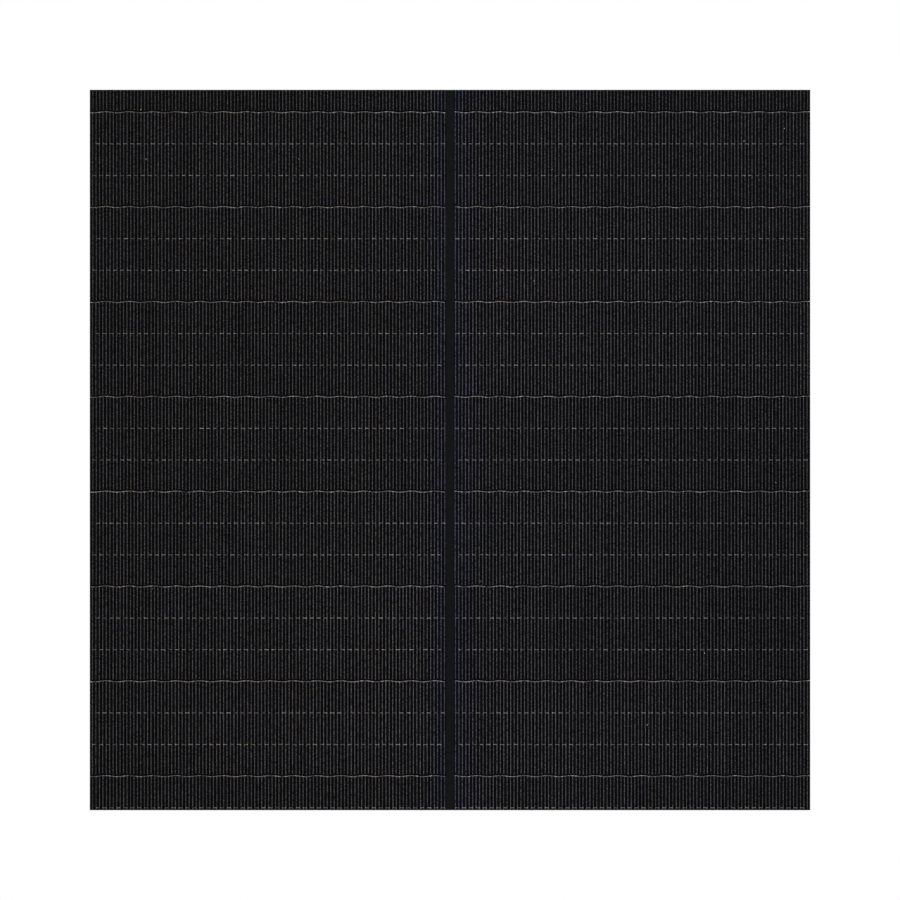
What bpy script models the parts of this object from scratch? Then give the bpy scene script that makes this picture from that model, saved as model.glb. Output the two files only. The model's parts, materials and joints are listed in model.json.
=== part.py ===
"""Flexible thin-film solar sheet, hung by an adhesive strip along the top of its back.

The sheet is a laminate: a clear front laminate, two columns of foil solar cells and a back sheet.
It bends between its rows of cells, so it is modelled as seven rows hinged along the lines where
the cells meet. A low junction box with a hinged lid, two lever terminals, a bypass diode and two
cable glands sits on the back of the top row.

Frame: X runs across the sheet, Z up, and the light falls on the face that looks along -Y.
The origin is the centre of the top strip's bonding face. Run it in Blender 4.5.
"""

import math

import bmesh
import bpy
from mathutils import Matrix, Vector

MM = 0.001

# ---------------------------------------------------------------- driving dimensions
SHEET = 332.4 * MM              # the square sheet's side
ROW_PITCH = 43.75 * MM          # from one row of cells to the next
TOP_STRIP = 10.4 * MM           # height of the narrow strip of cells above the first full row
FULL_ROWS = 7                   # full rows of cells, one in each bending row
COLUMN_GAP = 3.8 * MM           # dark band between the two columns of cells
EDGE_MARGIN = 0.8 * MM          # from the sheet's side edge to the cells
ROW_GAP = 0.6 * MM              # clearance between two bending rows

GAP = 0.1 * MM                  # clearance between layers that are bonded in the real sheet
BACK_THICK = 0.9 * MM           # back sheet
FRONT_THICK = 1.3 * MM          # clear front laminate
POCKET_DEPTH = 0.75 * MM        # room for the cells in the front laminate
CELL_THICK = 0.35 * MM
RIBBON_THICK = 0.15 * MM
RIBBON_WIDTH = 5.0 * MM
CONTACT_THICK = 0.8 * MM

HANG_THICK = 1.0 * MM           # adhesive strips on the back
HANG_HEIGHT = 12.0 * MM
HANG_INSET = 2.0 * MM           # from the sheet's edge to a strip

BOX_LENGTH = 112.0 * MM         # junction box, along X
BOX_HEIGHT = 32.0 * MM          # along Z
BOX_DEPTH = 15.0 * MM           # along Y, without gasket and lid
BOX_WALL = 2.0 * MM
BOX_DROP = 26.5 * MM            # from the top strip's centre down to the box's centre
PAD_THICK = 1.0 * MM
LID_THICK = 2.0 * MM
GASKET_THICK = 0.8 * MM
JOINT_GAP = 0.3 * MM            # clearance beside a moving or a seated piece
PIN_RADIUS = 1.25 * MM
BORE_CLEARANCE = 0.1 * MM

GLAND_BORE = 3.2 * MM           # radius of the way through for a 6 mm cable
GLAND_THREAD = 4.8 * MM         # radius of the threaded neck
GLAND_HEX = 7.5 * MM            # radius at the corners of the hexagons
GLAND_SEAT = 4.1 * MM           # radius of the recess that holds the seal
NUT_WAY = 3.6 * MM              # radius of the hole in the hand nut's cap
VENT_X = -38.0 * MM             # pressure vent in the box's lower wall
VENT_RADIUS = 3.0 * MM
MARK_X = 43.0 * MM              # polarity signs on the lid, each beside its gland
MARK_REACH = 4.0 * MM
MARK_HALF_BAR = 0.6 * MM
MARK_PROUD = 0.4 * MM

HOUSING_IN = 26.0 * MM          # terminal blocks, from the box's middle
HOUSING_OUT = 42.0 * MM
HOUSING_HALF = 6.6 * MM         # half the height of a block
HOUSING_DEPTH = 5.0 * MM
POCKET_IN = 29.9 * MM           # room for the clamp spring, under the lever
POCKET_OUT = 38.1 * MM
CONTACT_HALF = 3.0 * MM         # half the height of a contact
LEVER_LENGTH = 8.0 * MM
LEVER_BORE = 0.85 * MM          # radius of the hole that a lever's stubs turn in
LEVER_STUB = 0.75 * MM

# ---------------------------------------------------------------- derived places
TOP = HANG_INSET + HANG_HEIGHT / 2              # the sheet's top edge
BOTTOM = TOP - SHEET
LINES = [TOP - TOP_STRIP - i * ROW_PITCH for i in range(FULL_ROWS + 1)]
HALF = SHEET / 2

BACK_REAR = -HANG_THICK - GAP
BACK_FRONT = BACK_REAR - BACK_THICK
LAMINATE_REAR = BACK_FRONT - GAP
LAMINATE_FRONT = LAMINATE_REAR - FRONT_THICK
POCKET_FLOOR = LAMINATE_REAR - POCKET_DEPTH
CELL_FRONT = POCKET_FLOOR + GAP
CELL_REAR = CELL_FRONT + CELL_THICK
RIBBON_FRONT = CELL_REAR + 0.07 * MM
BEND_AXIS_Y = (BACK_REAR + LAMINATE_FRONT) / 2

BOX_Z = -BOX_DROP
BOX_TOP = BOX_Z + BOX_HEIGHT / 2
BOX_BOTTOM = BOX_Z - BOX_HEIGHT / 2
FLOOR = GAP                                     # the box's front face, on its pad
RIM = FLOOR + BOX_DEPTH
LID_INNER = RIM + GAP + GASKET_THICK + GAP
LID_OUTER = LID_INNER + LID_THICK
PIN_Y = LID_INNER + 1.2 * MM
PIN_Z = BOX_TOP + 3.0 * MM
KNUCKLE_RADIUS = 2.6 * MM
KNUCKLE_HALF = 16.0 * MM                        # half the length of the lid's knuckle
EAR_WIDTH = 5.5 * MM
GLAND_Y = FLOOR + BOX_DEPTH / 2 + 0.9 * MM
SLOT_X = 20.0 * MM                              # where the lead ribbons come through the back sheet
BOX_FLOOR = FLOOR + BOX_WALL                    # inside the box
CONTACT_Y = BOX_FLOOR + 1.3 * MM                # front face of the contacts
CONTACT_REAR = CONTACT_Y + CONTACT_THICK
HOUSING_FLOOR = BOX_FLOOR + 0.2 * MM
HOUSING_REAR = HOUSING_FLOOR + HOUSING_DEPTH
LEVER_Y = HOUSING_REAR + 1.4 * MM
LEVER_Z = BOX_Z + 4.9 * MM

# ---------------------------------------------------------------- scene and materials


def clear_scene():
    for old in list(bpy.data.objects):
        bpy.data.objects.remove(old, do_unlink=True)


def new_collection(name):
    collection = bpy.data.collections.new(name)
    bpy.context.scene.collection.children.link(collection)
    return collection


def new_material(name, colour, roughness, metallic=0.0, alpha=1.0):
    material = bpy.data.materials.new(name)
    material.use_nodes = True
    shader = material.node_tree.nodes["Principled BSDF"]
    shader.inputs["Base Color"].default_value = (*colour, 1.0)
    shader.inputs["Roughness"].default_value = roughness
    shader.inputs["Metallic"].default_value = metallic
    shader.inputs["Alpha"].default_value = alpha
    material.diffuse_color = (*colour, alpha)
    return material


clear_scene()
PARTS = new_collection("flexible_solar_sheet")
CUTTERS = new_collection("cutters")

FILM = new_material("clear_film", (0.02, 0.02, 0.022), 0.35, alpha=0.25)
CELL = new_material("foil_cell", (0.006, 0.006, 0.008), 0.45)
BACKING = new_material("back_sheet", (0.015, 0.015, 0.016), 0.6)
ADHESIVE = new_material("adhesive", (0.03, 0.03, 0.03), 0.8)
COPPER = new_material("tinned_copper", (0.72, 0.68, 0.62), 0.3, metallic=1.0)
SHELL = new_material("black_plastic", (0.02, 0.02, 0.022), 0.5)
SEAL = new_material("seal_rubber", (0.03, 0.03, 0.03), 0.8)
BLOCK = new_material("grey_plastic", (0.35, 0.36, 0.37), 0.5)
LEVER = new_material("orange_plastic", (0.75, 0.2, 0.03), 0.45)
STEEL = new_material("steel", (0.6, 0.6, 0.62), 0.3, metallic=1.0)
DIODE = new_material("diode_epoxy", (0.01, 0.01, 0.012), 0.35)
BRONZE = new_material("spring_bronze", (0.7, 0.55, 0.35), 0.35, metallic=1.0)
VENT = new_material("vent_plastic", (0.2, 0.2, 0.21), 0.6)

# ---------------------------------------------------------------- modelling helpers


def adopt(obj, name, material, helper=False):
    """Names obj, gives it its material and puts it in the parts' or the cutters' collection."""
    obj.name = name
    obj.data.name = name
    for collection in list(obj.users_collection):
        collection.objects.unlink(obj)
    if helper:
        CUTTERS.objects.link(obj)
        obj.hide_render = True
        obj.display_type = "WIRE"
    else:
        PARTS.objects.link(obj)
        obj.data.materials.clear()
        obj.data.materials.append(material)
    return obj


def box(name, low, high, material=None, helper=False, bevel=0.0, segments=2):
    """A box from its lowest to its highest corner."""
    low, high = Vector(low), Vector(high)
    bpy.ops.mesh.primitive_cube_add(size=1.0, location=(low + high) / 2)
    obj = bpy.context.active_object
    size = high - low
    obj.data.transform(Matrix.Diagonal((size.x, size.y, size.z, 1.0)))
    if bevel:
        rounding = obj.modifiers.new("rounded_edges", "BEVEL")
        rounding.width = bevel
        rounding.segments = segments
        rounding.harden_normals = False
    return adopt(obj, name, material, helper)


def rod(name, x_from, x_to, y, z, radius, material=None, helper=False, sides=32, bevel=0.0):
    """A cylinder, or a prism of few sides, whose axis runs along X."""
    bpy.ops.mesh.primitive_cylinder_add(
        vertices=sides,
        radius=radius,
        depth=abs(x_to - x_from),
        location=((x_from + x_to) / 2, y, z),
    )
    obj = bpy.context.active_object
    obj.data.transform(Matrix.Rotation(math.pi / 2, 4, "Y"))
    if bevel:
        rounding = obj.modifiers.new("rounded_edges", "BEVEL")
        rounding.width = bevel
        rounding.segments = 2
        rounding.limit_method = "ANGLE"
        rounding.angle_limit = math.radians(50)
    if sides > 8:
        obj.data.shade_smooth()
        obj.data.set_sharp_from_angle(angle=math.radians(40))
    return adopt(obj, name, material, helper)


def boolean(obj, other, operation):
    modifier = obj.modifiers.new(f"{operation.lower()}_{other.name}", "BOOLEAN")
    modifier.operation = operation
    modifier.solver = "EXACT"
    modifier.object = other
    return obj


def cut(obj, *others):
    for other in others:
        boolean(obj, other, "DIFFERENCE")
    return obj


def join(obj, *others):
    for other in others:
        boolean(obj, other, "UNION")
    return obj


def place_origin(obj, point):
    """Moves obj's origin to a point, and leaves its shape where it is."""
    shift = Vector(point) - obj.location
    obj.data.transform(Matrix.Translation(-shift))
    obj.location = Vector(point)
    return obj


def new_axis(name, point, parent=None):
    """An empty on a joint's axis, which carries the pieces that turn about it."""
    axis = bpy.data.objects.new(name, None)
    axis.empty_display_size = 0.01
    PARTS.objects.link(axis)
    axis.location = Vector(point)
    bpy.context.view_layer.update()
    if parent:
        carry(axis, parent)
    return axis


def carry(obj, axis):
    """Parents obj to an empty without moving it."""
    bpy.context.view_layer.update()
    obj.parent = axis
    obj.matrix_parent_inverse = axis.matrix_world.inverted()
    return obj


# ---------------------------------------------------------------- the laminated sheet


def row_span(row):
    """Highest and lowest Z of a bending row, clear of its neighbours."""
    high = TOP if row == 1 else LINES[row - 1] - ROW_GAP / 2
    low = BOTTOM if row == FULL_ROWS else LINES[row] + ROW_GAP / 2
    return high, low


def strip_span(strip):
    """Highest and lowest Z of a strip of cells: 0 is the narrow top one."""
    high = TOP - EDGE_MARGIN if strip == 0 else LINES[strip - 1] - ROW_GAP / 2
    low = BOTTOM + EDGE_MARGIN if strip == FULL_ROWS + 1 else LINES[strip] + ROW_GAP / 2
    return high, low


def column_span(side):
    """Lowest and highest X of a column of cells: side is -1 on the left and 1 on the right."""
    inner, outer = COLUMN_GAP / 2, HALF - EDGE_MARGIN
    return sorted((side * inner, side * outer))


def front_laminate(row):
    """Clear cover of one row: a plate with a shallow channel for each column of cells."""
    high, low = row_span(row)
    plate = box(
        f"front_laminate_{row}",
        (-HALF, LAMINATE_FRONT, low),
        (HALF, LAMINATE_REAR, high),
        FILM,
    )
    end = 2 * MM                                 # how far a channel runs past a hinged edge
    channel_high = high - EDGE_MARGIN + GAP if row == 1 else high + end
    channel_low = low + EDGE_MARGIN - GAP if row == FULL_ROWS else low - end
    for side in (-1, 1):
        left, right = column_span(side)
        channel = box(
            f"channel_{row}_{'left' if side < 0 else 'right'}",
            (left - GAP, POCKET_FLOOR, channel_low),
            (right + GAP, LAMINATE_REAR + MM, channel_high),
            helper=True,
        )
        cut(plate, channel)
    return plate


def solar_cell(strip, side):
    """One strip of thin-film cell on its steel foil."""
    high, low = strip_span(strip)
    left, right = column_span(side)
    name = f"cell_{'left' if side < 0 else 'right'}_{strip}"
    return box(name, (left, CELL_FRONT, low), (right, CELL_REAR, high), CELL)


def back_sheet(row):
    high, low = row_span(row)
    return box(
        f"back_sheet_{row}", (-HALF, BACK_FRONT, low), (HALF, BACK_REAR, high), BACKING
    )


def lead_slot(side, y_from, y_to):
    """Cutter for the slot that a lead ribbon comes through."""
    half_width, half_height = 0.8 * MM, RIBBON_WIDTH / 2 + 0.5 * MM
    return box(
        f"lead_slot_{'left' if side < 0 else 'right'}_{round(y_from / MM)}",
        (side * SLOT_X - half_width, y_from, BOX_Z - half_height),
        (side * SLOT_X + half_width, y_to, BOX_Z + half_height),
        helper=True,
    )


def bent_strip(name, route, z_low, z_high, thickness, material):
    """A strip of sheet metal that follows a route of (x, y) points and spans a height in Z."""
    mesh = bpy.data.meshes.new(name)
    shape = bmesh.new()
    corners = [shape.verts.new((x, y, z_low)) for x, y in route]
    edges = [shape.edges.new(pair) for pair in zip(corners, corners[1:])]
    made = bmesh.ops.extrude_edge_only(shape, edges=edges)
    raised = [v for v in made["geom"] if isinstance(v, bmesh.types.BMVert)]
    bmesh.ops.translate(shape, verts=raised, vec=(0, 0, z_high - z_low))
    bmesh.ops.recalc_face_normals(shape, faces=shape.faces)
    shape.to_mesh(mesh)
    shape.free()
    strip = bpy.data.objects.new(name, mesh)
    bpy.context.scene.collection.objects.link(strip)
    layer = strip.modifiers.new("strip_thickness", "SOLIDIFY")
    layer.thickness = thickness
    layer.offset = 0.0
    layer.use_even_offset = True
    return adopt(strip, name, material)


def lead_ribbon(side, name):
    """Collects a column's current behind the first row and turns back into the box."""
    x_outer, y = side * (HALF - 6 * MM), RIBBON_FRONT + RIBBON_THICK / 2
    route = [
        (x_outer, y),
        (side * (SLOT_X + 0.6 * MM), y),
        (side * (SLOT_X + 0.1 * MM), y + 0.5 * MM),
        (side * (SLOT_X + 0.1 * MM), CONTACT_Y - 0.2 * MM),
    ]
    half_width = RIBBON_WIDTH / 2
    return bent_strip(name, route, BOX_Z - half_width, BOX_Z + half_width, RIBBON_THICK, COPPER)


def build_sheet():
    """The seven bending rows, each carried by an empty on the line that it bends about."""
    axis = None
    for row in range(1, FULL_ROWS + 1):
        if row > 1:
            axis = new_axis(f"bend_axis_{row - 1}", (0, BEND_AXIS_Y, LINES[row - 1]), axis)
        strips = [row] + ([0] if row == 1 else []) + ([row + 1] if row == FULL_ROWS else [])
        pieces = [front_laminate(row), back_sheet(row)]
        pieces += [solar_cell(strip, side) for strip in strips for side in (-1, 1)]
        if row == 1:
            for side in (-1, 1):
                cut(pieces[1], lead_slot(side, BACK_FRONT - MM, BACK_REAR + MM))
            lead_ribbon(1, "lead_ribbon_plus")
            lead_ribbon(-1, "lead_ribbon_minus")
            hang_strip("hang_strip_top", 0.0)
        if row == FULL_ROWS:
            pieces += [string_link(pieces[0])]
            pieces += [hang_strip("hang_strip_bottom", BOTTOM + HANG_INSET + HANG_HEIGHT / 2)]
        if axis:
            for piece in pieces:
                carry(piece, axis)


def string_link(laminate):
    """Ribbon behind the lowest strip that joins the two columns in series."""
    z = (LINES[FULL_ROWS] + BOTTOM) / 2
    half_length, end = HALF - 6 * MM, RIBBON_FRONT + RIBBON_THICK
    notch = box(
        "link_notch",
        (-COLUMN_GAP, RIBBON_FRONT - GAP, z - RIBBON_WIDTH / 2 - GAP),
        (COLUMN_GAP, LAMINATE_REAR + MM, z + RIBBON_WIDTH / 2 + GAP),
        helper=True,
    )
    cut(laminate, notch)
    return box(
        "string_link_ribbon",
        (-half_length, RIBBON_FRONT, z - RIBBON_WIDTH / 2),
        (half_length, end, z + RIBBON_WIDTH / 2),
        COPPER,
    )


def hang_strip(name, z):
    """Adhesive strip on the back that bonds the sheet to what carries it."""
    half_length = HALF - 6 * MM
    return box(
        name,
        (-half_length, -HANG_THICK, z - HANG_HEIGHT / 2),
        (half_length, 0.0, z + HANG_HEIGHT / 2),
        ADHESIVE,
    )


# ---------------------------------------------------------------- junction box


def build_box_base():
    """Open tray with two hinge ears on its top wall and a hole in each end for a gland."""
    half = BOX_LENGTH / 2
    base = box(
        "box_base", (-half, FLOOR, BOX_BOTTOM), (half, RIM, BOX_TOP), SHELL, bevel=1.0 * MM
    )
    room = box(
        "box_room",
        (-half + BOX_WALL, BOX_FLOOR, BOX_BOTTOM + BOX_WALL),
        (half - BOX_WALL, RIM + 2 * MM, BOX_TOP - BOX_WALL),
        helper=True,
        bevel=0.8 * MM,
    )
    cut(base, room)
    for side in (-1, 1):
        inner = side * (KNUCKLE_HALF + JOINT_GAP)
        outer = inner + side * EAR_WIDTH
        left, right = sorted((inner, outer))
        foot = box(
            f"ear_foot_{side}",
            (left, RIM - 4 * MM, BOX_TOP - 1.2 * MM),
            (right, RIM - GAP, PIN_Z),
            helper=True,
        )
        neck = box(
            f"ear_neck_{side}",
            (left, RIM - 4 * MM, BOX_TOP + 0.4 * MM),
            (right, PIN_Y, PIN_Z + KNUCKLE_RADIUS - 0.6 * MM),
            helper=True,
        )
        eye = rod(f"ear_eye_{side}", left, right, PIN_Y, PIN_Z, KNUCKLE_RADIUS, helper=True)
        join(base, foot, neck, eye)
        post = box(
            f"contact_post_{side}",
            (min(side * 14 * MM, side * 17 * MM), BOX_FLOOR - MM, BOX_Z - 2.5 * MM),
            (max(side * 14 * MM, side * 17 * MM), CONTACT_Y - GAP, BOX_Z + 2.5 * MM),
            helper=True,
        )
        join(base, post)
        cut(base, lead_slot(side, FLOOR - MM, BOX_FLOOR + MM))
        hole = rod(
            f"gland_hole_{side}",
            side * (half - BOX_WALL - MM),
            side * (half + MM),
            GLAND_Y,
            BOX_Z,
            GLAND_THREAD + BORE_CLEARANCE,
            helper=True,
        )
        cut(base, hole)
    eye_bore = rod(
        "ear_bore", -26 * MM, 26 * MM, PIN_Y, PIN_Z, PIN_RADIUS + BORE_CLEARANCE, helper=True
    )
    cut(base, eye_bore, vent_shape("vent_hole", BORE_CLEARANCE, helper=True))
    return base


def vent_shape(name, extra, helper=False):
    """Stem of the pressure vent in the box's lower wall, its radius made larger by extra."""
    bpy.ops.mesh.primitive_cylinder_add(
        vertices=32,
        radius=VENT_RADIUS + extra,
        depth=BOX_WALL + 2 * extra + 0.4 * MM,
        location=(VENT_X, GLAND_Y, BOX_BOTTOM + BOX_WALL / 2 - 0.2 * MM),
    )
    return adopt(bpy.context.active_object, name, VENT, helper)


def build_vent():
    """Pressure vent: a stem in the wall with a wider cap outside it."""
    vent = vent_shape("pressure_vent", 0.0)
    cap_thick = 1.4 * MM
    bpy.ops.mesh.primitive_cylinder_add(
        vertices=32,
        radius=VENT_RADIUS + 1.2 * MM,
        depth=cap_thick,
        location=(VENT_X, GLAND_Y, BOX_BOTTOM - JOINT_GAP - cap_thick / 2),
    )
    cap = adopt(bpy.context.active_object, "vent_cap", VENT, helper=True)
    return join(vent, cap)


def build_box_pad():
    """Foam tape that bonds the box to the back sheet."""
    half = BOX_LENGTH / 2 - MM
    pad = box(
        "box_pad",
        (-half, BACK_REAR + GAP, BOX_BOTTOM + MM),
        (half, BACK_REAR + GAP + PAD_THICK, BOX_TOP - MM),
        ADHESIVE,
    )
    for side in (-1, 1):
        cut(pad, lead_slot(side, BACK_REAR - 2 * MM, FLOOR + 0.5 * MM))
    return pad


def build_gasket():
    outer_x, outer_z = BOX_LENGTH / 2 - 0.4 * MM, BOX_HEIGHT / 2 - 0.4 * MM
    width = 1.4 * MM
    gasket = box(
        "lid_gasket",
        (-outer_x, RIM + GAP, BOX_Z - outer_z),
        (outer_x, RIM + GAP + GASKET_THICK, BOX_Z + outer_z),
        SEAL,
    )
    opening = box(
        "gasket_opening",
        (-outer_x + width, RIM, BOX_Z - outer_z + width),
        (outer_x - width, LID_OUTER, BOX_Z + outer_z - width),
        helper=True,
    )
    return cut(gasket, opening)


def build_lid():
    """Lid with a locating rib inside, a hinge knuckle above and a finger tab below."""
    half = BOX_LENGTH / 2
    lid = box(
        "box_lid",
        (-half, LID_INNER, BOX_BOTTOM),
        (half, LID_OUTER, BOX_TOP),
        SHELL,
        bevel=0.7 * MM,
    )
    rib_x, rib_z = half - BOX_WALL - 0.5 * MM, BOX_HEIGHT / 2 - BOX_WALL - 0.5 * MM
    rib_depth, rib_thick = 2.2 * MM, 1.2 * MM
    rib = box(
        "lid_rib",
        (-rib_x, LID_INNER - rib_depth, BOX_Z - rib_z),
        (rib_x, LID_INNER + 0.5 * MM, BOX_Z + rib_z),
        helper=True,
    )
    rib_room = box(
        "lid_rib_room",
        (-rib_x + rib_thick, LID_INNER - rib_depth - MM, BOX_Z - rib_z + rib_thick),
        (rib_x - rib_thick, LID_INNER + 0.1 * MM, BOX_Z + rib_z - rib_thick),
        helper=True,
    )
    web = box(
        "lid_web",
        (-KNUCKLE_HALF, LID_INNER, BOX_TOP - 1.5 * MM),
        (KNUCKLE_HALF, LID_OUTER - 0.2 * MM, PIN_Z),
        helper=True,
    )
    knuckle = rod(
        "lid_knuckle", -KNUCKLE_HALF, KNUCKLE_HALF, PIN_Y, PIN_Z, KNUCKLE_RADIUS, helper=True
    )
    bore = rod(
        "lid_bore", -26 * MM, 26 * MM, PIN_Y, PIN_Z, PIN_RADIUS + BORE_CLEARANCE, helper=True
    )
    tab = box(
        "lid_tab",
        (-9 * MM, LID_INNER + 0.3 * MM, BOX_BOTTOM - 2.6 * MM),
        (9 * MM, LID_OUTER - 0.2 * MM, BOX_BOTTOM + 1.5 * MM),
        helper=True,
    )
    join(lid, rib)
    cut(lid, rib_room)
    join(lid, web, knuckle, tab)
    for mark in polarity_marks():
        join(lid, mark)
    cut(lid, bore)
    return place_origin(lid, (0, PIN_Y, PIN_Z))


def polarity_marks():
    """Raised plus and minus signs on the lid, at the ends whose glands they name."""
    flat, upright = ("flat", MARK_REACH, MARK_HALF_BAR), ("upright", MARK_HALF_BAR, MARK_REACH)
    marks = []
    for name, x, bars in (("plus", MARK_X, (flat, upright)), ("minus", -MARK_X, (flat,))):
        for bar, half_x, half_z in bars:
            marks.append(
                box(
                    f"mark_{name}_{bar}",
                    (x - half_x, LID_OUTER - 0.3 * MM, BOX_Z - half_z),
                    (x + half_x, LID_OUTER + MARK_PROUD, BOX_Z + half_z),
                    helper=True,
                )
            )
    return marks


def build_hinge_pin():
    half = KNUCKLE_HALF + JOINT_GAP + EAR_WIDTH - 0.2 * MM
    return rod("hinge_pin", -half, half, PIN_Y, PIN_Z, PIN_RADIUS, STEEL)


# ---------------------------------------------------------------- terminals and diode


def sided(side, near, far):
    """Lowest and highest X of a stretch given by its distances from the middle."""
    return sorted((side * near, side * far))


def build_terminal(side, sign):
    """Lever terminal: insulating block, contact, clamp spring and the lever over them."""
    left, right = sided(side, HOUSING_IN, HOUSING_OUT)
    block = box(
        f"terminal_block_{sign}",
        (left, HOUSING_FLOOR, BOX_Z - HOUSING_HALF),
        (right, HOUSING_REAR, BOX_Z + HOUSING_HALF),
        BLOCK,
        bevel=0.3 * MM,
        segments=1,
    )
    for number, (near, far) in enumerate(((28.0 * MM, 29.6 * MM), (38.4 * MM, 40.0 * MM))):
        ear_left, ear_right = sided(side, near, far)
        ear = box(
            f"terminal_ear_{sign}_{number}",
            (ear_left, HOUSING_REAR - 0.5 * MM, LEVER_Z - 1.5 * MM),
            (ear_right, LEVER_Y + 1.5 * MM, LEVER_Z + 1.5 * MM),
            helper=True,
        )
        join(block, ear)
    bore = rod(
        f"lever_bore_{sign}",
        *sided(side, 27 * MM, 41 * MM),
        LEVER_Y,
        LEVER_Z,
        LEVER_BORE,
        helper=True,
    )
    entry_left, entry_right = sided(side, POCKET_OUT - MM, HOUSING_OUT + MM)
    entry = box(
        f"wire_entry_{sign}",
        (entry_left, CONTACT_Y, BOX_Z - 1.4 * MM),
        (entry_right, CONTACT_Y + 3.0 * MM, BOX_Z + 1.4 * MM),
        helper=True,
    )
    pocket_left, pocket_right = sided(side, POCKET_IN, POCKET_OUT)
    pocket = box(
        f"spring_pocket_{sign}",
        (pocket_left, CONTACT_Y - GAP, BOX_Z - CONTACT_HALF - 0.3 * MM),
        (pocket_right, HOUSING_REAR + MM, BOX_Z + CONTACT_HALF + 0.3 * MM),
        helper=True,
    )
    slot_left, slot_right = sided(side, HOUSING_IN - MM, POCKET_IN + MM)
    slot = box(
        f"contact_slot_{sign}",
        (slot_left, CONTACT_Y - GAP, BOX_Z - CONTACT_HALF - GAP),
        (slot_right, CONTACT_REAR + GAP, BOX_Z + CONTACT_HALF + GAP),
        helper=True,
    )
    cut(block, bore, entry, pocket, slot)

    contact_left, contact_right = sided(side, 13.0 * MM, POCKET_OUT - 0.3 * MM)
    box(
        f"contact_{sign}",
        (contact_left, CONTACT_Y, BOX_Z - CONTACT_HALF),
        (contact_right, CONTACT_REAR, BOX_Z + CONTACT_HALF),
        COPPER,
    )
    route = [
        (side * 37.4 * MM, HOUSING_REAR - 0.5 * MM),
        (side * 31.2 * MM, HOUSING_REAR - 0.5 * MM),
        (side * 30.5 * MM, HOUSING_REAR - 1.2 * MM),
        (side * 31.2 * MM, HOUSING_REAR - 1.9 * MM),
        (side * 36.8 * MM, CONTACT_REAR + 0.35 * MM),
    ]
    bent_strip(
        f"clamp_spring_{sign}", route, BOX_Z - 2.4 * MM, BOX_Z + 2.4 * MM, 0.3 * MM, BRONZE
    )

    blade_left, blade_right = sided(side, 30.0 * MM, 38.0 * MM)
    lever = box(
        f"terminal_lever_{sign}",
        (blade_left, LEVER_Y - 0.9 * MM, LEVER_Z - LEVER_LENGTH),
        (blade_right, LEVER_Y + 0.3 * MM, LEVER_Z),
        LEVER,
    )
    barrel = rod(
        f"lever_barrel_{sign}",
        blade_left - 0.15 * MM,
        blade_right + 0.15 * MM,
        LEVER_Y,
        LEVER_Z,
        1.1 * MM,
        helper=True,
    )
    stub = rod(
        f"lever_stub_{sign}",
        *sided(side, 28.2 * MM, 39.8 * MM),
        LEVER_Y,
        LEVER_Z,
        LEVER_STUB,
        helper=True,
    )
    toe = box(
        f"lever_toe_{sign}",
        (blade_left + 0.5 * MM, LEVER_Y - 0.5 * MM, LEVER_Z - LEVER_LENGTH - 0.5 * MM),
        (blade_right - 0.5 * MM, LEVER_Y + 0.9 * MM, LEVER_Z - LEVER_LENGTH + 0.8 * MM),
        helper=True,
    )
    join(lever, barrel, stub, toe)
    place_origin(lever, ((blade_left + blade_right) / 2, LEVER_Y, LEVER_Z))


def build_diode():
    """Bypass diode between the two contacts, with one lead to each."""
    lead_radius, body_radius, body_half = 0.55 * MM, 2.6 * MM, 4.8 * MM
    lead_y = CONTACT_REAR + 0.2 * MM + lead_radius
    body_y = lead_y + 1.5 * MM
    rod("bypass_diode", -body_half, body_half, body_y, BOX_Z, body_radius, DIODE, bevel=0.3 * MM)
    for side, sign in ((1, "plus"), (-1, "minus")):
        near = body_half + JOINT_GAP
        route = [
            (near, body_y),
            (near + 2 * MM, body_y),
            (near + 4.4 * MM, lead_y),
            (19.0 * MM, lead_y),
        ]
        lead = bpy.data.curves.new(f"diode_lead_{sign}", "CURVE")
        lead.dimensions = "3D"
        spline = lead.splines.new("POLY")
        spline.points.add(len(route) - 1)
        for point, (x, y) in zip(spline.points, route):
            point.co = (side * x, y, BOX_Z, 1.0)
        lead.bevel_depth = lead_radius
        lead.bevel_resolution = 2
        lead.use_fill_caps = True
        lead.materials.append(STEEL)
        PARTS.objects.link(bpy.data.objects.new(f"diode_lead_{sign}", lead))


# ---------------------------------------------------------------- cable glands


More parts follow.
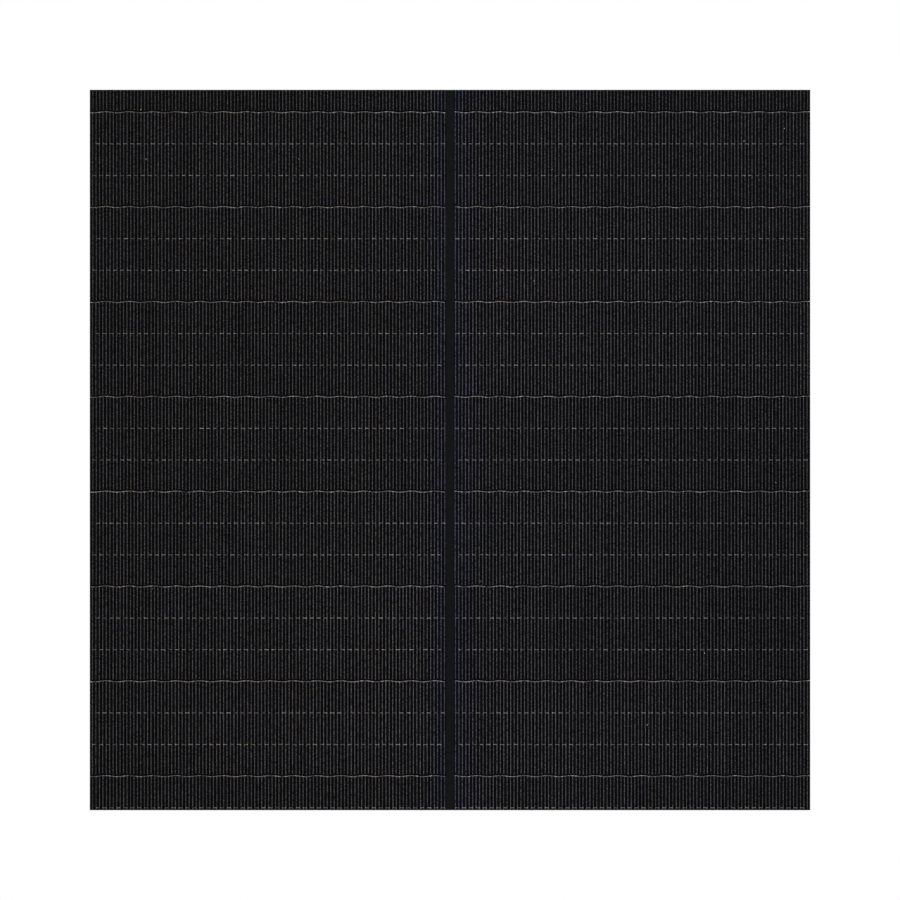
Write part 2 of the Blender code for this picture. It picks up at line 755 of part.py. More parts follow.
def build_gland(side, sign):
    """Cable gland on one end of the box: body, seal and hand nut, open for a 6 mm cable."""
    wall = BOX_LENGTH / 2
    flange_near, flange_far = wall + 0.2 * MM, wall + 4.2 * MM
    neck_far = wall + 10.2 * MM
    shank_near = wall - BOX_WALL - 0.6 * MM
    seal_near = neck_far - 2.4 * MM
    nut_near, nut_far = wall + 4.7 * MM, wall + 13.7 * MM
    cap_near = nut_far - 2.5 * MM

    def turned(name, near, far, radius, **options):
        return rod(name, *sided(side, near, far), GLAND_Y, BOX_Z, radius, **options)

    body = turned(
        f"gland_body_{sign}",
        flange_near,
        flange_far,
        GLAND_HEX,
        material=SHELL,
        sides=6,
        bevel=0.4 * MM,
    )
    neck = turned(f"gland_neck_{sign}", flange_near + MM, neck_far, GLAND_THREAD, helper=True)
    shank = turned(
        f"gland_shank_{sign}", shank_near, flange_near + MM, GLAND_THREAD - 0.1 * MM, helper=True
    )
    way = turned(f"gland_way_{sign}", shank_near - MM, neck_far + MM, GLAND_BORE, helper=True)
    seat = turned(f"gland_seat_{sign}", seal_near - GAP, neck_far + MM, GLAND_SEAT, helper=True)
    join(body, neck, shank)
    cut(body, way, seat)

    seal = turned(
        f"gland_seal_{sign}", seal_near, neck_far + 0.6 * MM, GLAND_SEAT - 0.15 * MM, material=SEAL
    )
    seal_way = turned(
        f"seal_way_{sign}", seal_near - MM, neck_far + 2 * MM, GLAND_BORE - 0.1 * MM, helper=True
    )
    cut(seal, seal_way)

    nut = turned(
        f"gland_nut_{sign}", nut_near, nut_far, GLAND_HEX, material=SHELL, sides=6, bevel=0.8 * MM
    )
    nut_thread = turned(
        f"nut_thread_{sign}", nut_near - MM, cap_near, GLAND_THREAD + 2 * BORE_CLEARANCE, helper=True
    )
    nut_way = turned(f"nut_way_{sign}", nut_near - MM, nut_far + MM, NUT_WAY, helper=True)
    cut(nut, nut_thread, nut_way)


# ---------------------------------------------------------------- the whole object

build_sheet()
build_box_pad()
build_box_base()
build_vent()
build_gasket()
build_lid()
build_hinge_pin()
for terminal_side, terminal_sign in ((1, "plus"), (-1, "minus")):
    build_terminal(terminal_side, terminal_sign)
    build_gland(terminal_side, terminal_sign)
build_diode()
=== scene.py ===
"""Looks of the flexible solar sheet: its laminate, cells and conductors, its back and junction box.

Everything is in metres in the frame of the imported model. The cells face -Y and +Z is up.
"""

import json
import math
import random

import bmesh
import bpy
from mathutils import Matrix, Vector

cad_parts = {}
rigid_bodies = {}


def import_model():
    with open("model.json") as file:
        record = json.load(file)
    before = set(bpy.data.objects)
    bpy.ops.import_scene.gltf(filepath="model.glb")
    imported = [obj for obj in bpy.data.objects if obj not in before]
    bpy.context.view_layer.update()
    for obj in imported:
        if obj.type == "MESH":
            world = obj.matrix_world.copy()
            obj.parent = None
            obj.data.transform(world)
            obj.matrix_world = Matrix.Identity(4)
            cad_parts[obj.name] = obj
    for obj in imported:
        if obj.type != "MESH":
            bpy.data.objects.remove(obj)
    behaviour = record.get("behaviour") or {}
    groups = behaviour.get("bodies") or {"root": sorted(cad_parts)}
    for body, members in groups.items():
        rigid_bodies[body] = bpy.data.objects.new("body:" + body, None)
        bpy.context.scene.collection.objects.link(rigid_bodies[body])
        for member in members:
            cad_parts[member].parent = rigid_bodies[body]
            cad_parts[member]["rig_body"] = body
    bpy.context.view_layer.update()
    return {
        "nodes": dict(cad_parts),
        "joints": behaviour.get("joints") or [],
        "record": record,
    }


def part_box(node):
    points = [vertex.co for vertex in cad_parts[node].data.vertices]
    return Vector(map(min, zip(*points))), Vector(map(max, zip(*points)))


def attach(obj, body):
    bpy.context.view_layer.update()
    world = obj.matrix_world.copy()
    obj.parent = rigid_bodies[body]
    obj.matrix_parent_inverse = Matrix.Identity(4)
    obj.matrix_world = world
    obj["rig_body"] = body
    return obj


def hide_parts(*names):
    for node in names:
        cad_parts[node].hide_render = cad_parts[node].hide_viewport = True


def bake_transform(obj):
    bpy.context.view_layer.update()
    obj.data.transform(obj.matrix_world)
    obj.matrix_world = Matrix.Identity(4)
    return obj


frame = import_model()

MM = 0.001

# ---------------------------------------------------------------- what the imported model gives


def joint_point(name):
    return next(Vector(j["pos_m"]) for j in frame["joints"] if j["name"] == name)


BENDS = 6
ROWS = BENDS + 1
SHEET_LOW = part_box(f"back_sheet_{ROWS}")[0]
SHEET_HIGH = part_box("back_sheet_1")[1]
HALF = SHEET_HIGH.x
TOP, BOTTOM = SHEET_HIGH.z, SHEET_LOW.z
BEND_LINES = [joint_point(f"bend_{i}").z for i in range(1, BENDS + 1)]
ROW_PITCH = (BEND_LINES[0] - BEND_LINES[-1]) / (BENDS - 1)
FIRST_LAP_LINE = BEND_LINES[0] + ROW_PITCH
FILM_FRONT, FILM_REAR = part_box("front_laminate_1")[0].y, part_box("front_laminate_1")[1].y
BACK_FRONT, BACK_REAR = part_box("back_sheet_1")[0].y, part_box("back_sheet_1")[1].y
PAD_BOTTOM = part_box("box_pad")[0].z
SLOT_OF = {part["node"]: part["material_slot"] for part in frame["record"]["subparts"]}

# ---------------------------------------------------------------- sizes of the fine detail
BEND_HALF = 14 * MM              # how far the laminate curves on each side of a bend line
BEND_STEPS = 16
EDGE_ROUND = 0.15 * MM           # rounding of the laminate's outer edges
EDGE_SOFT = 0.12 * MM            # how far the top and bottom edges draw in
RIDGE_HIGH = 0.16 * MM           # the lapped cells press low ridges into the back sheet
RIDGE_PROFILE = [                # height over the lap line, share of the ridge's height
    (2.2 * MM, 0), (1.6 * MM, 0.15), (0.8 * MM, 0.9), (0.3 * MM, 1), (-0.3 * MM, 1),
    (-0.7 * MM, 0.85), (-1.1 * MM, 0.15), (-1.5 * MM, 0),
]  # fmt: skip
CELL_INSET = 0.18 * MM           # from the sheet's edge to the visible cells
BAND_HALF = 1.75 * MM            # half of the dark band between the columns
PLATE_DEEP = 0.24 * MM           # how far the cells' lower edges stand out over the film's base
LAP_STEP = 0.12 * MM             # a cell's lower edge over the next cell's upper edge
LAP_RISE = 0.50 * MM             # that edge lies this far above the lap line
CELL_LIFT = 0.02 * MM            # a cell's upper edge over the film
PAD_CLEAR = 0.4 * MM             # from the box's pad to where the sheet starts to bend
TINY = 1e-6                      # lengths under this, in metres, count as none

WIRE_PITCH = 1.592 * MM
WIRES = 103                      # in one column
FIRST_WIRE = 2.45 * MM           # from the middle of the band to the first wire
WIRE_SHIFT = 0.15 * MM           # most that a strip's wires are moved sideways
WIRE_BASE, WIRE_TOP, WIRE_HIGH = 0.18 * MM, 0.11 * MM, 0.06 * MM
WIRE_END = 0.95 * MM             # wires stop this far above the wavy line below them
DASH_LONG = 1.70 * MM            # cross link between two wires
DASH_SLANT = 0.06 * MM
DASH_BASE, DASH_TOP, DASH_HIGH = 0.19 * MM, 0.13 * MM, 0.08 * MM
WAVE_PERIOD = 10.85 * MM         # of the wavy line along the top of each cell
WAVE_SWING = 0.26 * MM
WAVE_PHASE = math.radians(38)    # the right column's; the left one's is its opposite
WAVE_STEP = 0.9 * MM
LAP_BASE, LAP_TOP, LAP_HIGH = 0.15 * MM, 0.09 * MM, 0.09 * MM
SPECKS = 16                      # specks of dust and stray silver on the whole face
SPECK_SIZE = 0.22 * MM
SPECK_SIZES = (0.6, 1.3)         # share of that size for each of its corners
SPECK_CORNERS = 5
SPECK_HIGH = 0.1 * MM
SPECK_MARGIN = 5 * MM            # none lies nearer to the sheet's top or bottom edge
SPECK_REACH = 0.95               # nor farther out than this share of half the width

# Brightness: a tone of 1 is bare silver, and the ranges are drawn from evenly.
MIDDLE_TONE = 0.28               # of a wire beside the band
EDGE_SHADE = 0.06                 # painted shade: how much darker a wire is at the sheet's side edge
TOP_STRIP_TONE = 0.84            # share for the narrow top strip
STRIP_TONES = (0.93, 1.07)       # share for each other strip
WIRE_TONES = (0.84, 1.16)        # share for each wire
FIRST_WIRE_TONES = (0.75, 0.95)  # and for the one beside the band
LINK_TONES = (1.1, 3.4)
LINK_SHARES = [(-0.5, 1.85), (-0.25, 0.6), (0.25, 0.6), (0.5, 1.85)]  # place along it, share
LAP_TONE = 1.45                  # of the wavy line between two wires
KNOT_TONES = (1.4, 5.3)          # and where it crosses a wire
KNOT_HALF = 0.15                 # half a knot's length, in wire pitches
SPECK_TONES = (1.2, 3.0)

# ---------------------------------------------------------------- studio
FLOOR = -1.1                     # the sheet hangs well above the floor
FLOOR_FADE = 2.4                 # from the middle of the floor to where it is wholly white
FLOOR_NEAR = 0.6                 # where it starts to fade
FLOOR_RADIUS = 12
FRAME_SHARE = 0.8008             # of the picture's height that the sheet fills
LENS, SENSOR = 85, 36            # of the camera, in mm
LIGHTS = [                       # name, place, size, power and colour
    ("key_left", (-1.3, -1.3, 0.7), 0.9, 12.5, (1, 1, 1)),
    ("key_right", (1.3, -1.3, 0.7), 0.9, 13.5, (0.97, 0.98, 1.0)),
    ("back_left", (1.2, 1.4, 0.9), 0.9, 26, (1, 1, 1)),
    ("back_right", (-1.5, 0.9, 0.2), 0.5, 16, (1, 1, 1)),
]
OVERHEAD_POWER, OVERHEAD_SPREAD = 2.2, math.radians(40)

# ---------------------------------------------------------------- materials


def new_tree(name):
    material = bpy.data.materials.new(name)
    material.use_nodes = True
    tree = material.node_tree
    return material, tree, tree.nodes["Principled BSDF"]


def add(tree, kind, **settings):
    node = tree.nodes.new(kind)
    for key, value in settings.items():
        if hasattr(node, key):
            setattr(node, key, value)
        else:
            node.inputs[key.replace("_", " ").title()].default_value = value
    return node


def grain(tree, scale, detail=4.0, source="UV", stretch=(1, 1, 1)):
    """Noise over the rest shape, in cycles a metre."""
    place = add(tree, "ShaderNodeTexCoord")
    noise = add(tree, "ShaderNodeTexNoise", scale=scale, detail=detail)
    mapping = add(tree, "ShaderNodeMapping")
    mapping.inputs["Scale"].default_value = stretch
    tree.links.new(place.outputs[source], mapping.inputs["Vector"])
    tree.links.new(mapping.outputs["Vector"], noise.inputs["Vector"])
    return noise.outputs["Fac"]


def spread(tree, value, low, high):
    """Maps the useful middle of a noise to a range."""
    node = add(tree, "ShaderNodeMapRange")
    node.inputs["From Min"].default_value = 0.3
    node.inputs["From Max"].default_value = 0.7
    node.inputs["To Min"].default_value = low
    node.inputs["To Max"].default_value = high
    tree.links.new(value, node.inputs["Value"])
    return node.outputs["Result"]


def times(tree, colour, factor):
    node = add(tree, "ShaderNodeVectorMath", operation="SCALE")
    tree.links.new(colour, node.inputs[0])
    tree.links.new(factor, node.inputs["Scale"])
    return node.outputs["Vector"]


def ramp(tree, value, stops):
    """Colour ramp through (position, colour) stops."""
    node = add(tree, "ShaderNodeValToRGB")
    elements = node.color_ramp.elements
    while len(elements) < len(stops):
        elements.new(0.5)
    for element, (position, colour) in zip(elements, stops):
        element.position = position
        element.color = (*colour, 1.0)
    tree.links.new(value, node.inputs["Fac"])
    return node.outputs["Color"]


def bump(tree, shader, height, strength, distance):
    node = add(tree, "ShaderNodeBump")
    node.inputs["Strength"].default_value = strength
    node.inputs["Distance"].default_value = distance
    tree.links.new(height, node.inputs["Height"])
    tree.links.new(node.outputs["Normal"], shader.inputs["Normal"])


def moulded(name, dark, light, roughness, grain_scale, relief, metallic=0.0, specular=0.5):
    """A surface whose colour and roughness vary a little, with a fine relief."""
    material, tree, shader = new_tree(name)
    broad = grain(tree, grain_scale / 12, 3.0, "Object")
    fine = grain(tree, grain_scale, 5.0, "Object")
    tree.links.new(ramp(tree, broad, [(0.3, dark), (0.7, light)]), shader.inputs["Base Color"])
    low, high = roughness
    tree.links.new(spread(tree, fine, low, high), shader.inputs["Roughness"])
    shader.inputs["Metallic"].default_value = metallic
    shader.inputs["Specular IOR Level"].default_value = specular
    bump(tree, shader, fine, 0.6, relief)
    return material


def film_finish(shader):
    shader.inputs["Specular IOR Level"].default_value = 0.04
    shader.inputs["Roughness"].default_value = 0.4


def across_sheet(tree, stops):
    """Colours that change from the left edge of the sheet to the right one."""
    place = add(tree, "ShaderNodeTexCoord")
    split = add(tree, "ShaderNodeSeparateXYZ")
    across = add(tree, "ShaderNodeMapRange")
    across.inputs["From Min"].default_value = -HALF
    across.inputs["From Max"].default_value = HALF
    tree.links.new(place.outputs["UV"], split.inputs["Vector"])
    tree.links.new(split.outputs["X"], across.inputs["Value"])
    return ramp(tree, across.outputs["Result"], stops)


def cell_material():
    """Near-black thin film under the clear cover, bluer beside the band between the columns."""
    material, tree, shader = new_tree("cell_surface")
    film_finish(shader)
    tint = across_sheet(
        tree,
        [
            (0.000, (0.0033, 0.0034, 0.0040)),
            (0.440, (0.0033, 0.0035, 0.0042)),
            (0.475, (0.0034, 0.0036, 0.0052)),
            (0.493, (0.0034, 0.0046, 0.0104)),
            (0.507, (0.0034, 0.0050, 0.0114)),
            (0.530, (0.0034, 0.0037, 0.0062)),
            (0.560, (0.0033, 0.0036, 0.0050)),
            (1.000, (0.0033, 0.0035, 0.0045)),
        ],
    )
    uneven = spread(tree, grain(tree, 300.0, 6.0), 0.7, 1.35)
    tree.links.new(times(tree, tint, uneven), shader.inputs["Base Color"])
    return material


def conductor_material():
    """Fine printed silver under the cover, beaded along its length and never quite one colour."""
    material, tree, shader = new_tree("conductor")
    film_finish(shader)
    tone = add(tree, "ShaderNodeAttribute", attribute_name="tone").outputs["Fac"]
    silver = ramp(
        tree,
        grain(tree, 900.0, 3.0, stretch=(1, 0.35, 1)),
        [
            (0.36, (0.345, 0.273, 0.250)),
            (0.44, (0.288, 0.296, 0.268)),
            (0.52, (0.309, 0.282, 0.306)),
            (0.57, (0.284, 0.290, 0.304)),
            (0.66, (0.326, 0.269, 0.368)),
        ],
    )
    tints = [
        across_sheet(
            tree,
            [(0.44, (1, 1, 1)), (0.49, (1, 1, 1.12)), (0.51, (1, 1, 1.14)), (0.58, (1, 1, 1.02))],
        ),
        ramp(tree, tone, [(0.28, (1, 1, 1)), (0.5, (1.06, 1, 0.95))]),
    ]
    beads = spread(tree, grain(tree, 1000.0, 2.0), 0.25, 1.9)
    colour = times(tree, times(tree, silver, beads), tone)
    for tint in tints:
        product = add(tree, "ShaderNodeVectorMath", operation="MULTIPLY")
        tree.links.new(colour, product.inputs[0])
        tree.links.new(tint, product.inputs[1])
        colour = product.outputs["Vector"]
    tree.links.new(colour, shader.inputs["Base Color"])
    return material


def film_material(name, colour):
    material, tree, shader = new_tree(name)
    film_finish(shader)
    dark = tuple(0.85 * c for c in colour)
    tree.links.new(
        ramp(tree, grain(tree, 250.0, 5.0), [(0.3, dark), (0.7, colour)]),
        shader.inputs["Base Color"],
    )
    return material


def backing_material():
    """Matt black back sheet with a fine weave."""
    material, tree, shader = new_tree("back_sheet")
    fine = grain(tree, 2500.0, 4.0)
    tree.links.new(
        ramp(tree, grain(tree, 60.0), [(0.3, (0.014, 0.014, 0.015)), (0.7, (0.019, 0.019, 0.020))]),
        shader.inputs["Base Color"],
    )
    tree.links.new(spread(tree, fine, 0.42, 0.6), shader.inputs["Roughness"])
    bump(tree, shader, fine, 0.5, 0.00005)
    return material


CELL = cell_material()
CONDUCTOR = conductor_material()
BAND = film_material("band_between_columns", (0.0108, 0.0112, 0.0112))
BACKING = backing_material()

MOULDED_LOOKS = {                # slot: dark, light, roughness, grain scale, relief and metallic
    "adhesive": ((0.035, 0.035, 0.036), (0.055, 0.055, 0.055), (0.8, 0.95), 1800, 0.0002),
    "tinned_copper": ((0.55, 0.5, 0.45), (0.75, 0.72, 0.68), (0.25, 0.4), 900, 0.00002, 1.0),
    "black_plastic": ((0.018, 0.018, 0.019), (0.026, 0.026, 0.027), (0.36, 0.52), 2600, 0.00006),
    "seal_rubber": ((0.02, 0.02, 0.02), (0.03, 0.03, 0.03), (0.7, 0.85), 1200, 0.00004),
    "grey_plastic": ((0.3, 0.31, 0.32), (0.38, 0.39, 0.4), (0.4, 0.5), 1500, 0.00002),
    "orange_plastic": ((0.65, 0.16, 0.02), (0.8, 0.23, 0.04), (0.35, 0.45), 1500, 0.00002),
    "steel": ((0.5, 0.5, 0.52), (0.65, 0.65, 0.66), (0.25, 0.4), 900, 0.00001, 1.0),
    "spring_bronze": ((0.6, 0.43, 0.24), (0.75, 0.58, 0.36), (0.28, 0.4), 900, 0.00001, 1.0),
    "diode_epoxy": ((0.01, 0.01, 0.011), (0.016, 0.016, 0.017), (0.3, 0.42), 1500, 0.00002),
    "vent_plastic": ((0.16, 0.16, 0.17), (0.22, 0.22, 0.23), (0.5, 0.62), 1500, 0.00003),
    "mark_paint": ((0.55, 0.55, 0.54), (0.66, 0.66, 0.64), (0.5, 0.65), 1500, 0.00002),
}
SLOT_LOOKS = {slot: moulded(slot, *look) for slot, look in MOULDED_LOOKS.items()}
SLOT_LOOKS.update(clear_film=BAND, foil_cell=CELL, back_sheet=BACKING)


def dress_cad_nodes():
    """Gives every carried-over node the look of its material slot."""
    for name, obj in frame["nodes"].items():
        look = SLOT_LOOKS[SLOT_OF[name]]
        if not obj.material_slots:
            obj.data.materials.append(look)
        for slot in obj.material_slots:
            slot.material = look


# ---------------------------------------------------------------- mesh building


class Shape:
    """Gathers quads with a tone for each point, and turns them into one object."""

    def __init__(self):
        self.points, self.faces, self.tones = [], [], []

    def strip(self, rings, tone=1.0, closed=False, caps=False):
        """Joins successive rings of points, each as long as the first, with quads.

        tone is one number, or one for each ring.
        """
        start, size = len(self.points), len(rings[0])
        for i, ring in enumerate(rings):
            self.points.extend(ring)
            self.tones.extend([tone[i] if isinstance(tone, list) else tone] * size)
        last = size if closed else size - 1
        for r in range(len(rings) - 1):
            a, b = start + r * size, start + (r + 1) * size
            for i in range(last):
                j = (i + 1) % size
                self.faces.append((a + i, b + i, b + j, a + j))
        if caps:
            end = start + len(rings) * size
            self.faces.append(tuple(range(start, start + size)))
            self.faces.append(tuple(reversed(range(end - size, end))))

    def build(self, name, material, smooth=False):
        mesh = bpy.data.meshes.new(name)
        mesh.from_pydata(self.points, [], self.faces)
        tone = mesh.attributes.new("tone", "FLOAT", "POINT")
        tone.data.foreach_set("value", self.tones)
        layer = mesh.uv_layers.new(name="rest")
        flat = []
        for loop in mesh.loops:
            x, _, z = self.points[loop.vertex_index]
            flat += (x, z)
        layer.data.foreach_set("uv", flat)
        if smooth:
            mesh.shade_smooth()
            mesh.set_sharp_from_angle(angle=math.radians(40))
        mesh.materials.append(material)
        obj = bpy.data.objects.new(name, mesh)
        bpy.context.scene.collection.objects.link(obj)
        return obj


# ---------------------------------------------------------------- the pieces for each bend line


def bend_zone(bend):
    """Where the laminate starts and stops curving about a bend line: 1 is the highest."""
    line = BEND_LINES[bend - 1]
    start = line + BEND_HALF
    if bend == 1:
        start = min(start, PAD_BOTTOM - PAD_CLEAR)
    return start, line - BEND_HALF


def piece_span(bend):
    """Highest and lowest Z of the piece for one bend line."""
    high = TOP if bend == 1 else (BEND_LINES[bend - 2] + BEND_LINES[bend - 1]) / 2
    low = BOTTOM if bend == BENDS else (BEND_LINES[bend - 1] + BEND_LINES[bend]) / 2
    return high, low


def stations(bend, high, low):
    """Z values from high to low, close together in the bend zone."""
    start, end = bend_zone(bend)
    inner = [start + (end - start) * i / BEND_STEPS for i in range(BEND_STEPS + 1)]
    return [high] + [z for z in inner if low + TINY < z < high - TINY] + [low]


def finish_bending(obj, bend, slot, *nodes):
    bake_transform(obj)
    if nodes:
        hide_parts(*nodes)


def rows_of(bend):
    """The rows that the piece for a bend line stands for."""
    return [bend, ROWS] if bend == BENDS else [bend]


def layer_profile(front, rear, rounding, half):
    """Outline of a layer in the XY plane, its long edges rounded."""
    corners = [(half, front, 270), (half, rear, 0), (-half, rear, 90), (-half, front, 180)]
    outline = []
    for x, y, turn in corners:
        cx = x - math.copysign(rounding, x)
        cy = y + rounding if y == front else y - rounding
        for i in range(4):
            angle = math.radians(turn + 30 * i)
            outline.append((cx + rounding * math.cos(angle), cy + rounding * math.sin(angle)))
    return outline


def add_ridges(levels, high, low):
    """Puts the ridges' profile in place of the levels that it passes over.

    The highest lap line has no ridge, because the top adhesive strip lies over it.
    """
    above, below = RIDGE_PROFILE[0][0], RIDGE_PROFILE[-1][0]
    for strip in range(2, ROWS + 2):
        line = strip_lines(strip)[0]
        if not low < line < high:
            continue
        levels = [level for level in levels if not line + below < level[0] < line + above]
        levels += [(line + rise, 0.0, share * RIDGE_HIGH) for rise, share in RIDGE_PROFILE]
    return sorted(levels, reverse=True)


def layer_piece(bend, name, front, rear, material, ridged=False):
    """One layer of the laminate from edge to edge, rounded where it meets the sheet's edge."""
    high, low = piece_span(bend)
    levels = [(z, 0.0, 0.0) for z in stations(bend, high, low)]    # z, inset and ridge
    if bend == 1:
        levels[0:1] = [(high, EDGE_SOFT, 0.0), (high - EDGE_SOFT, 0.0, 0.0)]
    if bend == BENDS:
        levels[-1:] = [(low + EDGE_SOFT, 0.0, 0.0), (low, EDGE_SOFT, 0.0)]
    if ridged:
        levels = add_ridges(levels, high, low)
    rings = []
    for z, inset, ridge in levels:
        rounding = EDGE_ROUND - inset / 2
        outline = layer_profile(front + inset, rear - inset + ridge, rounding, HALF - inset)
        rings.append([(x, y, z) for x, y in outline])
    shape = Shape()
    shape.strip(rings, closed=True, caps=True)
    return shape.build(f"{name}_{bend}", material, smooth=True)


# ---------------------------------------------------------------- cells and conductors

PLATE_BASE = FILM_FRONT + PLATE_DEEP


def strip_lines(strip):
    """Lap lines above and below a strip of cells; the sheet's edges cut off the outer strips."""
    upper = FIRST_LAP_LINE - (strip - 1) * ROW_PITCH
    return upper, upper - ROW_PITCH


def plate_y(strip, z):
    """Front of a cell, which leans out towards its lower edge to lie over the next one."""
    upper, _ = strip_lines(strip)
    return PLATE_BASE - CELL_LIFT - LAP_STEP * (upper + LAP_RISE - z) / ROW_PITCH


def clipped(high, low, bend):
    """The stretch from high to low that lies in a bending piece, or None."""
    top, bottom = piece_span(bend)
    top = min(top, TOP - CELL_INSET)
    bottom = max(bottom, BOTTOM + CELL_INSET)
    high, low = min(high, top), max(low, bottom)
    return (high, low) if high - low > 10 * TINY else None


def wave_z(strip, side, x):
    """Height of the wavy line along the top of a strip."""
    swing = WAVE_SWING * math.sin(math.tau * x / WAVE_PERIOD + side * WAVE_PHASE)
    return strip_lines(strip)[0] + swing


def samples(low, high, step):
    count = round((high - low) / step)
    return [low + (high - low) * i / count for i in range(count + 1)]


def cell_piece(bend):
    """Cells whose lower edges are wavy and lie a little over the tops of the next ones."""
    shape = Shape()
    for strip in range(ROWS + 2):
        upper, lower = strip_lines(strip)
        span = clipped(upper, lower + LAP_RISE, bend)
        if not span:
            continue
        levels = stations(bend, *span)
        whole_edge = levels[-1] == lower + LAP_RISE
        for side in (-1, 1):
            across = samples(*sorted((side * BAND_HALF, side * (HALF - CELL_INSET))), WAVE_STEP)
            rings = []
            for x in reversed(across):
                edge = wave_z(strip + 1, side, x) + LAP_RISE if whole_edge else levels[-1]
                heights = levels[:-1] + [edge]
                front = [(x, plate_y(strip, z), z) for z in heights]
                rings.append(front + [(x, PLATE_BASE, z) for z in reversed(heights)])
            shape.strip(rings, closed=True, caps=True)
    return shape.build(f"cells_{bend}", CELL, smooth=True)


def drawn(kind, strip, side, number, limits):
    """A number between two limits, drawn at random but the same each time for the same piece."""
    return random.Random(f"{kind} {strip} {side} {number}").uniform(*limits)


def wire_x(strip, side, wire):
    """Wires are evenly spaced, from a start that differs a little from strip to strip."""
    shift = drawn("shift", strip, side, 0, (-WIRE_SHIFT, WIRE_SHIFT))
    return side * (FIRST_WIRE + WIRE_PITCH * wire) + shift


def brightness(strip, x):
    """Tone of an ordinary wire: brighter near the middle, with painted shade towards the side edges,
    and not quite the same in each strip.
    """
    strip_tone = drawn("strip", strip, x > 0, 0, STRIP_TONES) if strip else TOP_STRIP_TONE
    # the fall towards the side edges is painted shade, not the silver's own colour
    return strip_tone * (MIDDLE_TONE - EDGE_SHADE * abs(x) / HALF)


def wires_in(shape, bend, strip, side):
    for wire in range(WIRES):
        x = wire_x(strip, side, wire)
        start = wave_z(strip, side, x) if strip else TOP
        span = clipped(start, wave_z(strip + 1, side, x) + WIRE_END, bend)
        if not span:
            continue
        rings = []
        for z in stations(bend, *span):
            y = plate_y(strip, z)
            rings.append(
                [
                    (x - WIRE_BASE, y, z),
                    (x - WIRE_TOP, y - WIRE_HIGH, z),
                    (x + WIRE_TOP, y - WIRE_HIGH, z),
                    (x + WIRE_BASE, y, z),
                ]
            )
        limits = WIRE_TONES if wire else FIRST_WIRE_TONES
        tone = brightness(strip, x) * drawn("wire", strip, side, wire, limits)
        shape.strip(rings, tone, closed=True, caps=True)


def bar(shape, points, half_base, half_top, high, tones):
    """A low ridge across the wires, from left to right through (x, front of the cell, z)."""
    rings = [
        [
            (x, y, z - half_base),
            (x, y - high, z - half_top),
            (x, y - high, z + half_top),
            (x, y, z + half_base),
        ]
        for x, y, z in points
    ]
    shape.strip(rings, tones, closed=True, caps=True)


def links_in(shape, bend, strip, side):
    """Two rows of short cross links, each joining every other pair of wires."""
    upper, _ = strip_lines(strip)
    for row in (1, 2):
        z = upper - row * ROW_PITCH / 3
        if not clipped(z + DASH_BASE, z - DASH_BASE, bend):
            continue
        y = plate_y(strip, z)
        for wire in range(row - 1, WIRES - 1, 2):
            middle = (wire_x(strip, side, wire) + wire_x(strip, side, wire + 1)) / 2
            tone = brightness(strip, middle) * drawn("link", strip, side, 2 * wire + row, LINK_TONES)
            points = [
                (middle + along * DASH_LONG, y, z - along * DASH_SLANT) for along, _ in LINK_SHARES
            ]
            tones = [tone * share for _, share in LINK_SHARES]
            bar(shape, points, DASH_BASE, DASH_TOP, DASH_HIGH, tones)


def lap_line_in(shape, bend, strip, side):
    """The wavy conductor along the top of a strip: it has a bright knot at every wire."""
    upper, _ = strip_lines(strip)
    if strip == 0 or not clipped(upper + WAVE_SWING, upper - WAVE_SWING, bend):
        return
    points, tones = [], []
    for wire in range(WIRES):
        knot = drawn("knot", strip, side, wire, KNOT_TONES)
        for offset, tone in ((-0.5, LAP_TONE), (-KNOT_HALF, knot), (KNOT_HALF, knot)):
            x = wire_x(strip, side, wire) + side * offset * WIRE_PITCH
            if wire or offset > -0.5:
                z = wave_z(strip, side, x)
                points.append((x, plate_y(strip, z), z))
                tones.append(tone * brightness(strip, x))
    points[-1] = (side * (HALF - CELL_INSET), *points[-1][1:])
    if side < 0:
        points.reverse()
        tones.reverse()
    bar(shape, points, LAP_BASE, LAP_TOP, LAP_HIGH, tones)


def specks_in(shape, bend):
    """Tiny bright flakes, each a low irregular pyramid."""
    draw = random.Random(5)
    high, low = piece_span(bend)
    for _ in range(SPECKS):
        x = draw.uniform(-SPECK_REACH, SPECK_REACH) * HALF
        z = draw.uniform(BOTTOM + SPECK_MARGIN, TOP - SPECK_MARGIN)
        turn, tone = draw.uniform(0, math.tau), draw.uniform(*SPECK_TONES)
        sizes = [SPECK_SIZE * draw.uniform(*SPECK_SIZES) for _ in range(SPECK_CORNERS)]
        if not low < z < high:
            continue
        strip = math.floor((FIRST_LAP_LINE + ROW_PITCH - z) / ROW_PITCH)
        y = plate_y(strip, z)
        base = []
        for i, size in enumerate(sizes):
            angle = turn + math.tau * i / len(sizes)
            base.append((x + size * math.cos(angle), y, z + size * math.sin(angle)))
        raised = [((x + px) / 2, y - SPECK_HIGH, (z + pz) / 2) for px, _, pz in base]
        shape.strip([raised, base], tone, closed=True, caps=True)


def conductor_piece(bend):
    shape = Shape()
    specks_in(shape, bend)
    for strip in range(ROWS + 2):
        for side in (-1, 1):
            wires_in(shape, bend, strip, side)
            links_in(shape, bend, strip, side)
            lap_line_in(shape, bend, strip, side)
    return shape.build(f"conductors_{bend}", CONDUCTOR)


